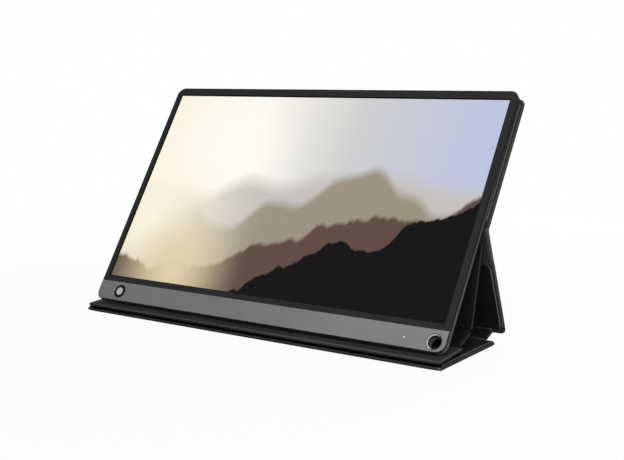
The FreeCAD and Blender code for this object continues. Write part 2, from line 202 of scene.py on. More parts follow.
def painted_rim_highlight(tree):
    """A painted highlight along the housing's edge, clear of its black front and fainter towards the top."""
    line = maths(tree, "MULTIPLY", by_depth(tree, *rim_starts), by_depth(tree, *rim_ends))
    up = node(tree, "ShaderNodeSeparateXYZ", {0: face_place(tree, 0, 0)}).outputs[1]
    fade = ranged(tree, up, rim_full_height * MM, rim_faint_height * MM, 1.0, rim_faintest)
    return maths(tree, "MULTIPLY", line, fade)


def effect(name, inputs, outputs):
    """An empty shader group with its named sockets, and its two end nodes."""
    group = bpy.data.node_groups.new(name, "ShaderNodeTree")
    for label, value in inputs.items():
        group.interface.new_socket(label, in_out="INPUT", socket_type="NodeSocketFloat").default_value = value
    for label in outputs:
        group.interface.new_socket(label, in_out="OUTPUT", socket_type="NodeSocketFloat")
    return group, node(group, "NodeGroupInput").outputs, node(group, "NodeGroupOutput")


def noise(tree, place, scale, detail, distortion=0.0):
    """The outputs of a noise in space: its value, then its colour."""
    inputs = {"Vector": place, "Scale": scale, "Detail": detail, "Distortion": distortion}
    return node(tree, "ShaderNodeTexNoise", inputs).outputs


moulded_grain, grain_in, grain_out = effect(
    "moulded_grain", {"Pits per metre": 2400, "Patch": 30}, ("Height", "Tone")
)
grain_place = node(moulded_grain, "ShaderNodeTexCoord").outputs["Object"]
grain_pits = node(
    moulded_grain, "ShaderNodeTexVoronoi", {"Vector": grain_place, "Scale": grain_in["Pits per metre"]}
)
grain_dust = noise(moulded_grain, grain_place, scale=grain_in["Pits per metre"], detail=3.0)[0]
grain_patch = noise(moulded_grain, grain_place, scale=grain_in["Patch"], detail=2.0)[0]
grain_height = maths(moulded_grain, "ADD", grain_pits.outputs["Distance"], grain_dust)
grain_speck = maths(moulded_grain, "MULTIPLY", grain_dust, grain_patch)
grain_contrast = 2.6
grain_tone = maths(moulded_grain, "MULTIPLY", grain_speck, grain_contrast, clamp=True)
for grain_label, grain_value in (("Height", grain_height), ("Tone", grain_tone)):
    moulded_grain.links.new(grain_value, grain_out.inputs[grain_label])


def new_finish(name, sockets):
    """A material with one shader, its plain values set on the shader's own sockets."""
    made = bpy.data.materials.new(name)
    made.use_nodes = True
    made.node_tree.nodes.clear()
    shader = node(made.node_tree, "ShaderNodeBsdfPrincipled", sockets)
    node(made.node_tree, "ShaderNodeOutputMaterial", {"Surface": shader.outputs[0]})
    return made, made.node_tree, shader.inputs


def spread(tree, value, low, high):
    """A value from nought to one, spread between two others."""
    return ranged(tree, value, low=low, high=high)


def two_tone(tree, mask, dark, light):
    """A colour between two, by a mask."""
    mixed = node(tree, "ShaderNodeMix", data_type="RGBA", blend_type="MIX")
    tree.links.new(mask, mixed.inputs[0])
    for slot, colour in ((6, dark), (7, light)):
        if isinstance(colour, bpy.types.NodeSocket):
            tree.links.new(colour, mixed.inputs[slot])
        else:
            mixed.inputs[slot].default_value = (*colour, 1)
    return mixed.outputs[2]


def raised(tree, shader, height, depth, strength=1.0):
    """Fine relief on a surface, from a height."""
    bump = node(tree, "ShaderNodeBump", {"Height": height, "Distance": depth, "Strength": strength})
    tree.links.new(bump.outputs[0], shader["Normal"])


def grained(name, dark, light, rough, pits, patch, depth, sockets=None, edge=None):
    """A moulded or rolled surface: two near tones, varied gloss, fine relief, and an edge of another tone."""
    made, tree, shader = new_finish(name, sockets or {})
    grain = node(tree, "ShaderNodeGroup", node_tree=moulded_grain)
    grain.inputs["Pits per metre"].default_value = pits
    grain.inputs["Patch"].default_value = patch
    colour = two_tone(tree, grain.outputs["Tone"], dark, light)
    if edge:
        colour = two_tone(tree, edge[0](tree), colour, edge[1])
    tree.links.new(colour, shader["Base Color"])
    tree.links.new(spread(tree, grain.outputs["Tone"], *rough), shader["Roughness"])
    raised(tree, shader, grain.outputs["Height"], depth)
    return made


def dress(finish, *names):
    """Puts a finish on solids of the model."""
    for name in names:
        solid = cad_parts[name].data
        solid.materials.clear()
        solid.materials.append(finish)


dress(
    grained(
        "housing_plastic",
        (0.006, 0.006, 0.0065),
        (0.01, 0.01, 0.0105),
        rough=(0.52, 0.66),
        pits=2200,
        patch=40,
        depth=0.00003,
        sockets={"Specular IOR Level": 0.03},
        # painted highlight: a pale line along the housing's edge, fading towards the top
        edge=(painted_rim_highlight, (0.11, 0.11, 0.109)),
    ),
    "rear_housing",
)

# Front bezel: a thin moulded frame round the screen, satin black with a slightly green cast, glued over the
# panel's margin. Its chamfered edge and the walls of its window carry painted shade, near black, where the
# housing's rim shows beside it.
chamfer_depths = (0.03, 0.12)


def grey(level):
    """A neutral colour."""
    return (level, level, level)


def painted_shade_edge(tree):
    """Painted shade on the bezel's chamfer and the walls of its window."""
    return by_depth(tree, *chamfer_depths)


dress(
    grained(
        "bezel_plastic",
        (0.0165, 0.0172, 0.0165),
        (0.022, 0.0228, 0.022),
        rough=(0.4, 0.5),
        pits=3200,
        patch=25,
        depth=0.00002,
        sockets={"Specular IOR Level": 0.06},
        # painted shade: the chamfer and window walls darkened to near black
        edge=(painted_shade_edge, grey(0.003)),
    ),
    "front_bezel",
)

# Chin strip: the grey lower front, painted with a fine metallic flake over plastic. It is cut out for the
# button, the status light and the stylus hole, and carries painted shade, a dark line, round the larger two
# and along its outer edge.
button_spot = (-152.0, 9.4)
hole_spot = (167.6, 8.4)
button_line_radius = 6.35
hole_line_radius = 6.7
chin_half_width = 178.0
chin_corner = 8.0
chin_border = 0.9


def off_axis(tree, spot):
    """How far a point is from an axis square to the monitor's face."""
    flat = vector_maths(tree, "MULTIPLY", face_place(tree, *spot), (1, 1, 0))[0]
    return vector_maths(tree, "LENGTH", flat)["Value"]


def painted_shade_border(tree):
    """Painted shade along the strip's outer edge, black round its two lower corners."""
    across, up = node(tree, "ShaderNodeSeparateXYZ", {0: face_place(tree, 0, chin_corner)}).outputs[:2]
    beside = maths(tree, "SUBTRACT", maths(tree, "ABSOLUTE", across), (chin_half_width - chin_corner) * MM)
    beside = maths(tree, "MAXIMUM", beside, 0.0)
    below = maths(tree, "MAXIMUM", maths(tree, "MULTIPLY", up, -1.0), 0.0)
    below_squared = maths(tree, "MULTIPLY", below, below)
    far = maths(tree, "SQRT", maths(tree, "MULTIPLY_ADD", beside, beside, below_squared))
    return maths(tree, "GREATER_THAN", far, (chin_corner - chin_border) * MM)


def painted_shade_lines(tree):
    """Painted shade: dark lines round the button's ring, the hole's sleeve and the strip itself."""
    button_line = maths(tree, "LESS_THAN", off_axis(tree, button_spot), button_line_radius * MM)
    hole_line = maths(tree, "LESS_THAN", off_axis(tree, hole_spot), hole_line_radius * MM)
    return maths(tree, "MAXIMUM", maths(tree, "MAXIMUM", button_line, hole_line), painted_shade_border(tree))


dress(
    grained(
        "chin_paint",
        (0.165, 0.166, 0.168),
        (0.21, 0.211, 0.213),
        rough=(0.4, 0.5),
        pits=4200,
        patch=18,
        depth=0.00001,
        sockets={"Specular IOR Level": 0.18},
        # painted shade: dark lines round the button, the hole and the strip's edge
        edge=(painted_shade_lines, grey(0.006)),
    ),
    "chin_strip",
)

# Screen: the matt front film of the panel, lit from behind. It shows hills in morning mist, a picture of its
# own, and has a thin black margin that lies under the bezel's window.
display_width = 344.16
display_height = 193.59
display_bottom = 23.1
sharp_edge = math.radians(40)


def link_mesh(name, points, faces, finish, smooth=True):
    """A new object from points and faces, with its normals outwards."""
    mesh = bpy.data.meshes.new(name)
    mesh.from_pydata(points, [], faces)
    work = bmesh.new()
    work.from_mesh(mesh)
    bmesh.ops.recalc_face_normals(work, faces=work.faces)
    work.to_mesh(mesh)
    work.free()
    for polygon in mesh.polygons:
        polygon.use_smooth = smooth
    if smooth:
        mesh.set_sharp_from_angle(angle=sharp_edge)
    mesh.materials.append(finish)
    made = bpy.data.objects.new(name, mesh)
    scene.collection.objects.link(made)
    return made


screen_film, film, film_shader = new_finish(
    "screen_film", {"Base Color": (*grey(0.002), 1), "Specular IOR Level": 0.04, "Emission Strength": 1.0}
)
film_uv = node(film, "ShaderNodeUVMap", uv_map="picture").outputs[0]
film_across, film_up = node(film, "ShaderNodeSeparateXYZ", {0: film_uv}).outputs[:2]
sky_ramp = node(film, "ShaderNodeValToRGB", {0: film_across})
sky_stops = (
    (0.0, (0.95, 0.9, 0.74)),
    (0.3, (0.96, 0.93, 0.84)),
    (0.62, (0.62, 0.62, 0.62)),
    (1.0, (0.5, 0.55, 0.76)),
)
for place, colour in sky_stops[2:]:
    sky_ramp.color_ramp.elements.new(place)
for stop, (place, colour) in zip(sky_ramp.color_ramp.elements, sky_stops):
    stop.position = place
    stop.color = (*colour, 1)
sky = sky_ramp.outputs[0]
near_softness, near_detail, far_detail = 0.03, 5.0, 2.2
display_shape = 1.78


def ridge(picture, seed, steep, level, slope, rough, soft, colour):
    """One range of hills drawn over the picture: level, slope across and roughness of its skyline."""
    along = maths(film, "MULTIPLY_ADD", film_across, steep, seed)
    detail = near_detail if soft < near_softness else far_detail
    skyline = node(
        film, "ShaderNodeTexNoise", {"W": along, "Scale": 1.0, "Detail": detail}, noise_dimensions="1D"
    ).outputs[0]
    rise = maths(film, "MULTIPLY_ADD", film_across, slope, level)
    top = maths(film, "MULTIPLY_ADD", skyline, rough, rise)
    below = maths(film, "SUBTRACT", top, film_up)
    return two_tone(film, ranged(film, below, 0.0, soft), picture, colour)


def glow(picture, across, up, reach, colour):
    """A soft round light over the picture."""
    offset = vector_maths(film, "SUBTRACT", film_uv, (across, up, 0))[0]
    wide = vector_maths(film, "MULTIPLY", offset, (display_shape, 1, 1))[0]
    far = vector_maths(film, "LENGTH", wide)["Value"]
    mask = ranged(film, far, 0.0, reach, 1.0, 0.0, interpolation_type="SMOOTHSTEP")
    return two_tone(film, mask, picture, colour)


sky = glow(sky, across=0.24, up=0.64, reach=0.5, colour=(1.0, 0.99, 0.94))
sky = ridge(
    sky, seed=3.1, steep=2.2, level=0.34, slope=0.1, rough=0.4, soft=0.09, colour=(0.56, 0.53, 0.5)
)
sky = ridge(
    sky, seed=11.7, steep=2.8, level=0.14, slope=0.22, rough=0.46, soft=0.05, colour=(0.33, 0.29, 0.22)
)
sky = glow(sky, across=0.06, up=0.3, reach=0.7, colour=(0.96, 0.9, 0.74))
sky = ridge(
    sky, seed=27.4, steep=3.2, level=-0.2, slope=0.5, rough=0.44, soft=0.022, colour=(0.115, 0.07, 0.055)
)
sky = glow(sky, across=0.2, up=0.06, reach=0.42, colour=(0.74, 0.62, 0.4))
sky = ridge(
    sky, seed=41.9, steep=4.4, level=-0.45, slope=0.78, rough=0.36, soft=0.01, colour=(0.004, 0.0035, 0.004)
)
lit_half_across, lit_half_up = 0.4972, 0.495
margin_across = maths(film, "ABSOLUTE", maths(film, "SUBTRACT", film_across, 0.5))
margin_up = maths(film, "ABSOLUTE", maths(film, "SUBTRACT", film_up, 0.5))
lit_across = maths(film, "LESS_THAN", margin_across, lit_half_across)
lit_up = maths(film, "LESS_THAN", margin_up, lit_half_up)
picture = two_tone(film, maths(film, "MULTIPLY", lit_across, lit_up), grey(0.003), sky)
film.links.new(picture, film_shader["Emission Color"])
film_grain = node(film, "ShaderNodeGroup", node_tree=moulded_grain)
film_pits = 5200
film_rough = (0.36, 0.42)
film_relief = 0.000004
film_grain.inputs["Pits per metre"].default_value = film_pits
film.links.new(spread(film, film_grain.outputs["Tone"], *film_rough), film_shader["Roughness"])
raised(film, film_shader, film_grain.outputs["Height"], film_relief)

film_play = 0.15
film_rings = ((0.0, -0.99), (0.0, -0.9), (0.12, -0.86))
film_points = []
film_places = []
for inset, out in film_rings:
    for side, end in ((-1, 0), (1, 0), (1, 1), (-1, 1)):
        x = side * (display_width / 2 - film_play - inset)
        height = display_bottom + (film_play + inset if end == 0 else display_height - film_play - inset)
        film_points.append(on_face(x, height, out))
        film_places.append((x / display_width + 0.5, (height - display_bottom) / display_height))
film_faces = [(3, 2, 1, 0), (8, 9, 10, 11)]
for ring in (0, 4):
    film_faces += [(ring + k, ring + (k + 1) % 4, ring + 4 + (k + 1) % 4, ring + 4 + k) for k in range(4)]
screen = link_mesh("screen_film", film_points, film_faces, screen_film, smooth=False)
screen_map = screen.data.uv_layers.new(name="picture")
for loop in screen.data.loops:
    screen_map.data[loop.index].uv = film_places[loop.vertex_index]
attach(screen, "monitor")

# Panel and light: the glass cell, its white diffuser sheets, the clear light guide with its LED bar, and the
# folded steel tray that holds them, stacked behind the bezel.
metal = {"Metallic": 1.0}
panel_finishes = (
    # solid, finish, its two tones, roughness, pits and patches per metre, relief
    ("lcd_panel", "cell_glass", (0.006, 0.006, 0.007), (0.012, 0.012, 0.013), (0.1, 0.2), 900, 12, 0.000004),
    ("diffuser_sheets", "diffuser_film", (0.7, 0.7, 0.69), (0.8, 0.8, 0.79), (0.5, 0.7), 3000, 20, 0.00001),
    ("light_guide", "guide_acrylic", (0.6, 0.64, 0.66), (0.7, 0.74, 0.75), (0.08, 0.16), 1500, 15, 0.00001),
    ("led_bar", "led_strip", (0.5, 0.48, 0.34), (0.75, 0.73, 0.6), (0.3, 0.5), 700, 90, 0.00003),
    ("back_pan", "tray_steel", (0.42, 0.42, 0.43), (0.55, 0.55, 0.56), (0.28, 0.42), 1800, 30, 0.00001, metal),
)
for layer, *layer_finish in panel_finishes:
    dress(grained(*layer_finish), layer)

# Boards: green resist over copper, with a ribbon to the panel, a port shell, a push switch and plated screws.
# They lie behind the chin, screwed to the housing's bosses.
dress(
    grained("board_resist", (0.01, 0.07, 0.03), (0.03, 0.13, 0.06), (0.3, 0.5), 500, 160, 0.00005),
    "main_board",
    "driver_board",
)
dress(
    grained("ribbon_film", (0.3, 0.14, 0.03), (0.42, 0.22, 0.06), (0.25, 0.4), 1200, 60, 0.00001),
    "panel_flex",
)
dress(grained("switch_body", grey(0.02), grey(0.05), (0.4, 0.55), 1500, 80, 0.00002), "power_switch")
dress(
    grained("plated_steel", (0.5, 0.5, 0.5), (0.64, 0.64, 0.63), (0.2, 0.34), 2600, 60, 0.00001, metal),
    "board_screws",
    "usb_c_receptacle",
    "magnet_plates",
)

# Power button, status light and stylus hole: a turned silver cap in a gloss black ring, a small clear lens,
# and a bright turned sleeve pressed right through the corner, black inside, with a painted highlight deeper in.
# the bore's colours: black near its mouth, and a paler painted highlight deeper in
bore_depths = (1.5, 5.0)
bore_black = grey(0.008)
bore_lit = grey(0.11)
lip_tone = grey(0.19)
tool_mark_share = 0.25


def turned(name, spot, dark, light, rough, rings, depth, black_from, bright_from, lip_from):
    """Metal faced on a lathe: rings about an axis square to the face, black past a radius, and a dull lip."""
    made, tree, shader = new_finish(name, {"Specular IOR Level": 0.05})
    radius = off_axis(tree, spot)
    tool_mark = maths(tree, "SINE", maths(tree, "MULTIPLY", radius, rings))
    wander = noise(tree, face_place(tree, *spot), scale=900.0, detail=3.0)[0]
    mark = maths(tree, "MULTIPLY_ADD", tool_mark, tool_mark_share, wander, clamp=True)
    bright = ranged(tree, radius, black_from * MM, bright_from * MM)
    lip = maths(tree, "GREATER_THAN", radius, lip_from * MM)
    faced = two_tone(tree, lip, two_tone(tree, mark, dark, light), lip_tone)
    # the bore: black near its mouth, paler deeper in as a painted highlight
    bore = two_tone(tree, by_depth(tree, *bore_depths), bore_black, bore_lit)
    tree.links.new(bright, shader["Metallic"])
    tree.links.new(two_tone(tree, bright, bore, faced), shader["Base Color"])
    tree.links.new(spread(tree, mark, *rough), shader["Roughness"])
    raised(tree, shader, tool_mark, depth)
    return made


dress(
    turned(
        "turned_cap",
        button_spot,
        grey(0.28),
        (0.48, 0.48, 0.47),
        rough=(0.26, 0.4),
        rings=26000,
        depth=0.000006,
        black_from=3.65,
        bright_from=3.5,
        lip_from=9.0,
    ),
    "power_button",
)
gloss_black = {"Specular IOR Level": 0.05}
dress(
    grained("gloss_ring", grey(0.002), grey(0.004), (0.14, 0.24), 1400, 60, 0.000004, gloss_black),
    "button_ring",
)
dress(grained("lens", (0.5, 0.52, 0.52), (0.66, 0.68, 0.68), (0.12, 0.2), 1400, 90, 0.000004), "status_light")
dress(
    turned(
        "turned_sleeve",
        hole_spot,
        grey(0.36),
        grey(0.52),
        rough=(0.1, 0.18),
        rings=18000,
        depth=0.000005,
        black_from=5.3,
        bright_from=5.42,
        lip_from=6.08,
    ),
    "hole_sleeve",
)

# Cover leaves: stiff grey boards wrapped in black leatherette. The skin is turned over the edge and glued, a
# stitch channel is pressed near the edge, and a microfibre lining closes the other face.
# The skin is paler along its edges, partly from wear and partly a painted highlight.
leather_grain, leather_in, leather_out = effect("leather_grain", {"Pebbles per metre": 720}, ("Height", "Tone"))
leather_place = node(leather_grain, "ShaderNodeTexCoord").outputs["Object"]
leather_warp = noise(leather_grain, leather_place, scale=500.0, detail=2.0)["Color"]
warp_reach = 0.0006
leather_bent = vector_maths(
    leather_grain, "MULTIPLY_ADD", leather_warp, (warp_reach, warp_reach, warp_reach), leather_place
)[0]
leather_cells = node(
    leather_grain,
    "ShaderNodeTexVoronoi",
    {"Vector": leather_bent, "Scale": leather_in["Pebbles per metre"]},
    feature="DISTANCE_TO_EDGE",
).outputs["Distance"]
pebble_crown = 0.3
leather_pebble = ranged(leather_grain, leather_cells, 0.0, pebble_crown, interpolation_type="SMOOTHSTEP")
leather_pore = noise(leather_grain, leather_place, scale=4000.0, detail=2.0)[0]
pore_share = 0.25
leather_height = maths(leather_grain, "MULTIPLY_ADD", leather_pore, pore_share, leather_pebble)
leather_patch = noise(leather_grain, leather_place, scale=22.0, detail=4.0)[0]
valley_tone = 0.5
leather_crown = maths(leather_grain, "MULTIPLY_ADD", leather_pebble, 1 - valley_tone, valley_tone)
leather_tone = maths(leather_grain, "MULTIPLY", leather_crown, leather_patch)
for leather_label, leather_value in (("Height", leather_height), ("Tone", leather_tone)):
    leather_grain.links.new(leather_value, leather_out.inputs[leather_label])
pebble_depth = 0.00026
pebble_strength = 0.9
worn_flat = 0.75
wear_and_highlight_patches = 0.4
wear_and_highlight_least = 0.7


def leatherette(name, dark, light, worn_and_lit, rough, gloss):
    """Embossed leatherette in neutral tones, paler where its edge is worn and a highlight is painted on it, and
    flatter where worn.
    """
    made, tree, shader = new_finish(name, {"Specular IOR Level": gloss})
    grain = node(tree, "ShaderNodeGroup", node_tree=leather_grain).outputs
    wear_and_highlight = node(tree, "ShaderNodeAttribute", attribute_name="wear_and_highlight").outputs["Fac"]
    patches = maths(tree, "MULTIPLY_ADD", grain["Tone"], wear_and_highlight_patches, wear_and_highlight_least)
    patchy = maths(tree, "MULTIPLY", wear_and_highlight, patches, clamp=True)
    skin = two_tone(tree, grain["Tone"], grey(dark), grey(light))
    # the paler edge colour is partly wear and partly a painted highlight
    tree.links.new(two_tone(tree, patchy, skin, grey(worn_and_lit)), shader["Base Color"])
    tree.links.new(spread(tree, grain["Tone"], *rough), shader["Roughness"])
    grain_left = maths(tree, "MULTIPLY_ADD", wear_and_highlight, -worn_flat, 1.0, clamp=True)
    flattened = maths(tree, "MULTIPLY", grain["Height"], grain_left)
    raised(tree, shader, flattened, pebble_depth, pebble_strength)
    return made


cover_skin = leatherette("cover_leatherette", dark=0.019, light=0.058, worn_and_lit=0.26, rough=(0.76, 0.56), gloss=0.03)
# a darker copy of the cover's leatherette with painted shade, for the leaves inside the stand
shaded_skin = leatherette("shaded_leatherette", dark=0.005, light=0.016, worn_and_lit=0.26, rough=(0.85, 0.7), gloss=0.02)

microfibre, nap, nap_shader = new_finish(
    "microfibre", {"Specular IOR Level": 0.0, "Sheen Weight": 0.03, "Sheen Roughness": 0.5}
)
nap_place = node(nap, "ShaderNodeTexCoord").outputs["Object"]
nap_fibres = noise(nap, nap_place, scale=3500.0, detail=4.0)[0]
nap_brushed = noise(nap, nap_place, scale=45.0, detail=3.0, distortion=0.6)[0]
nap_least = 0.4
nap_tone = maths(nap, "MULTIPLY", nap_fibres, maths(nap, "ADD", nap_brushed, nap_least), clamp=True)
nap_pile = two_tone(nap, nap_tone, (0.003, 0.003, 0.0035), (0.012, 0.012, 0.0125))
nap_edge_highlight = node(nap, "ShaderNodeAttribute", attribute_name="wear_and_highlight").outputs["Fac"]
# painted highlight: the lining's cut edge is painted a pale grey
nap.links.new(two_tone(nap, nap_edge_highlight, nap_pile, (0.16, 0.16, 0.158)), nap_shader["Base Color"])
nap_rough = (0.85, 0.97)
nap_relief = 0.00012
nap.links.new(spread(nap, nap_tone, *nap_rough), nap_shader["Roughness"])
raised(nap, nap_shader, nap_fibres, nap_relief)

dress(
    grained("grey_board", (0.2, 0.19, 0.18), (0.3, 0.29, 0.27), (0.8, 0.95), 1100, 50, 0.00006),
    "back_board",
    "base_board",
    "ledge_board",
    "leg_board",
    "prop_board",
    "riser_board",
)
dress(
    grained("bar_magnet", (0.4, 0.4, 0.41), (0.52, 0.52, 0.53), (0.25, 0.4), 1900, 70, 0.00001, metal),
    "cover_magnets",
)


def rim(width, length, corners, inset, tail=0.0, joined=(False, False)):
    """Points round a leaf, drawn in from its edge: across it, along it, and how free the edge is there."""
    corner_steps = 8
    least_corner = 0.25
    half = width / 2 - inset
    points = []
    for side, end, first in ((1, 0, -90), (1, 1, 0), (-1, 1, 90), (-1, 0, 180)):
        radius = max(corners[end] - inset, least_corner)
        x = side * (half - radius)
        y = length - inset - radius if end else inset + radius - tail
        for step in range(corner_steps + 1):
            turn = math.radians(first + 90 * step / corner_steps)
            free = math.cos(turn) ** 2 if joined[end] else 1.0
            points.append((x + radius * math.cos(turn), y + radius * math.sin(turn), free))
    return points


def along_leaf(x, y, z, seat, turn):
    """A point given on a flat leaf, at its place in the folded cover."""
    return (
        x * MM,
        (seat[0] + y * math.cos(turn) - z * math.sin(turn)) * MM,
        (seat[1] + y * math.sin(turn) + z * math.cos(turn)) * MM,
    )


def through_rings(name, points, count, wear_and_highlight, finish):
    """A closed surface through rings of points, filled at both ends, that keeps each point's share of edge wear
    and painted highlight.
    """
    faces = [tuple(range(count)), tuple(range(len(points) - count, len(points)))]
    for low in range(0, len(points) - count, count):
        for k in range(count):
            after = (k + 1) % count
            faces.append((low + k, low + after, low + count + after, low + count + k))
    made = link_mesh(name, points, faces, finish)
    worn_and_lit = made.data.attributes.new("wear_and_highlight", "FLOAT", "POINT")
    worn_and_lit.data.foreach_set("value", wear_and_highlight)
    return made


def ringed(name, width, length, corners, seat, turn, rings, finish, joined=(False, False)):
    """A closed plate built up from outlines: how far each is drawn in, its level, its edge wear and painted
    highlight, and its tail.
    """
    points = []
    wear_and_highlight = []
    for inset, level, edge_wear_and_highlight, tail in rings:
        for x, y, free in rim(width, length, corners, inset, tail, joined):
            points.append(along_leaf(x, y, level, seat, turn))
            wear_and_highlight.append(edge_wear_and_highlight * free)
    return through_rings(name, points, len(points) // len(rings), wear_and_highlight, finish)


def shoulder(sweep, hem_wear_and_highlight, skin_wear_and_highlight):
    """How worn a rounded edge is, with its painted highlight, most on its two shoulders: by the hem, and by the
    skin's face.
    """
    most_at, fall = 64, 17
    most = hem_wear_and_highlight if sweep > 0 else skin_wear_and_highlight
    return most * math.exp(-(((abs(math.degrees(sweep)) - most_at) / fall) ** 2))


leaf_half = 1.4
edge_round = 1.1
edge_steps = 8
face_inset = 6.0
hem_drop = 0.28
hem_inset = 2.2
channel_inset = 2.9
channel_half = 0.42
channel_depth = 0.3
channel_lip = 0.3
skived = 0.28
leg_tail = 6.2
lining_inset = 3.0
lining_drop = 1.8
lining_corner = 7.0
stitch_lines = {}


def wrapped_leaf(body, name, width, length, corners, seat, angle, skin_up, joined, edge_wear_and_highlight, skin, tail=0.0):
    """One leaf: the turned-over skin with its stitch channel and a thin tail at its near end, and the lining."""
    half = leaf_half
    hem = half - hem_drop
    middle = (hem - half) / 2
    reach = (hem + half) / 2
    flip = -1 if skin_up else 1
    turn = math.radians(angle)
    # each ring of the skin: how far it is drawn in, its level, its edge wear and painted highlight, its tail
    rings = [(face_inset, hem, 0, 0), (hem_inset, hem, 0, 0)]
    for step in range(edge_steps + 1):
        sweep = math.radians(90 - 180 * step / edge_steps)
        inset = edge_round * (1 - math.cos(sweep))
        level = middle + reach * math.sin(sweep)
        past = tail if level < skived - half else 0
        rings.append((inset, level, shoulder(sweep, *edge_wear_and_highlight), past))
    rings += [
        (channel_inset - channel_half - channel_lip, -half, 0, 0),
        (channel_inset - channel_half, -half + channel_depth * 0.5, 0, 0),
        (channel_inset - channel_half * 0.5, -half + channel_depth, 0, 0),
        (channel_inset + channel_half * 0.5, -half + channel_depth, 0, 0),
        (channel_inset + channel_half, -half + channel_depth * 0.5, 0, 0),
        (channel_inset + channel_half + channel_lip, -half, 0, 0),
        (face_inset, -half, 0, 0),
    ]
    rings = [(inset, level * flip, rub_and_lit, past) for inset, level, rub_and_lit, past in rings]
    made = ringed(f"{name}_leather", width, length, corners, seat, turn, rings, skin, joined)
    # each ring of the lining: how far past its edge it is drawn in, its level, its painted highlight along the
    # cut edge
    lining = [
        (0.2, hem - 0.05, 0),
        (0.0, hem + 0.05, 1),
        (0.02, half - 0.1, 1),
        (0.15, half - 0.02, 1),
        (0.5, half, 0.7),
        (1.0, half, 0),
        (3.9, half, 0),
    ]
    drop = min(tail, lining_drop)
    lining = [(lining_inset + further, level * flip, cut_edge_highlight, drop) for further, level, cut_edge_highlight in lining]
    lining_corners = [max(corner, lining_corner) for corner in corners]
    cloth = ringed(f"{name}_cloth", width, length, lining_corners, seat, turn, lining, microfibre, (True, True))
    for piece in (made, cloth):
        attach(piece, body)
    channel = rim(width, length, corners, channel_inset)
    line = [along_leaf(x, y, flip * (channel_depth - half), seat, turn) for x, y, free in channel]
    out = (0, flip * math.sin(turn), -flip * math.cos(turn))
    stitch_lines.setdefault(body, []).append((line, out))
    return made, cloth


crease_start = 1.55


def onward(place, angle, distance):
    """The place reached by going on along a direction."""
    turn = math.radians(angle)
    return (place[0] + distance * math.cos(turn), place[1] + distance * math.sin(turn))


leg_axis = (104.27732, 7.18764)
back_axis = (66.20231, 94.17391)
riser_axis = (30.50831, 8.28919)
prop_axis = (51.28048, 16.26288)
leg_angle = 113.63962
back_angle = 57.0
ledge_angle = 4.0
riser_angle = 21.0
prop_angle = 77.0
base_seat = (-6.4, leaf_half)
ledge_seat = (-7.99766, 5.59659)
riser_seat = onward(riser_axis, riser_angle, crease_start)
prop_seat = onward(prop_axis, prop_angle, crease_start)
leg_seat = onward(leg_axis, leg_angle, crease_start)
back_seat = onward(back_axis, back_angle, crease_start)
cover_width = 360.0
ledge_width = 358.0
inner_width = 352.0
square = 1.6
near_square = 2.4
rounded = 6.0
leaves = (
    # body, leaf, its width and length, corners at its two ends, place and angle of its near end, whether the
    # skin is its upper face, which ends are joined on, wear and painted highlight by the hem and by the face,
    # skin, tail
    (
        "base", "base", cover_width, 94.4, (square, rounded), base_seat, 0.0,
        False, (True, True), (0.08, 0.1), cover_skin,
    ),
    (
        "base", "ledge", ledge_width, 37.4, (square, square), ledge_seat, ledge_angle,
        True, (False, True), (0.15, 0.45), cover_skin,
    ),
    (
        "riser", "riser", inner_width, 19.5, (square, square), riser_seat, riser_angle,
        True, (True, True), (0.2, 0.2), shaded_skin,
    ),
    (
        "prop", "prop", inner_width, 67.0, (square, near_square), prop_seat, prop_angle,
        True, (True, False), (0.18, 0.18), shaded_skin,
    ),
    (
        "leg", "leg", cover_width, 64.5, (rounded, square), leg_seat, leg_angle,
        False, (True, True), (0.35, 0.08), cover_skin, leg_tail,
    ),
    (
        "back_cover", "back", cover_width, 114.65, (square, rounded), back_seat, back_angle,
        False, (True, False), (0.18, 0.08), cover_skin,
    ),
)
for leaf in leaves:
    leaf_skin, leaf_cloth = wrapped_leaf(*leaf)
    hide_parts(f"{leaf[1]}_skin")
    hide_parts(f"{leaf[1]}_lining")

# Spine strip: a narrow stiff leaf between the base and the leg, wrapped on both faces in the darker skin, a
# copy of the cover's with painted shade, which is glued round it. A soft fold joins each of its long edges to
# the next leaf.
spine_axis = (89.2, 1.4)
spine_angle = 21.0
spine_half = 1.1
spine_width = 340.0
spine_length = 13.4
spine_face_inset = 3.0
# wear and painted highlight on the spine's shoulders
spine_wear_and_highlight = (0.3, 0.3)
spine_seat = onward(spine_axis, spine_angle, crease_start)
spine_rings = [(spine_face_inset, spine_half, 0, 0)]
for spine_step in range(edge_steps + 1):
    spine_sweep = math.radians(90 - 180 * spine_step / edge_steps)
    spine_inset = edge_round * (1 - math.cos(spine_sweep))
    spine_level = spine_half * math.sin(spine_sweep)
    spine_rings.append((spine_inset, spine_level, shoulder(spine_sweep, *spine_wear_and_highlight), 0))
spine_rings.append((spine_face_inset, -spine_half, 0, 0))
spine = ringed(
    "spine_leather",
    spine_width,
    spine_length,
    (square, square),
    spine_seat,
    math.radians(spine_angle),
    spine_rings,
    shaded_skin,
    (True, True),
)
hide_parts("spine_strip")
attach(spine, "spine")

# Soft folds: where the skin runs on from one leaf to the next with no board in it. It is pressed thin along
# the hinge line and puckers a little across it. The web above the leg is the widest of them.
stations = 97
end_share = 0.35
end_stations = 2.5
pucker_waves = ((1.0, 0.61, 0.0), (0.7, 1.37, 1.1), (0.5, 0.23, 2.3))
# the cut ends of the strips are paler: wear and a painted highlight, strongest on the cover's skin
cut_wear_and_highlight = {cover_skin: 0.45, shaded_skin: 0.08}


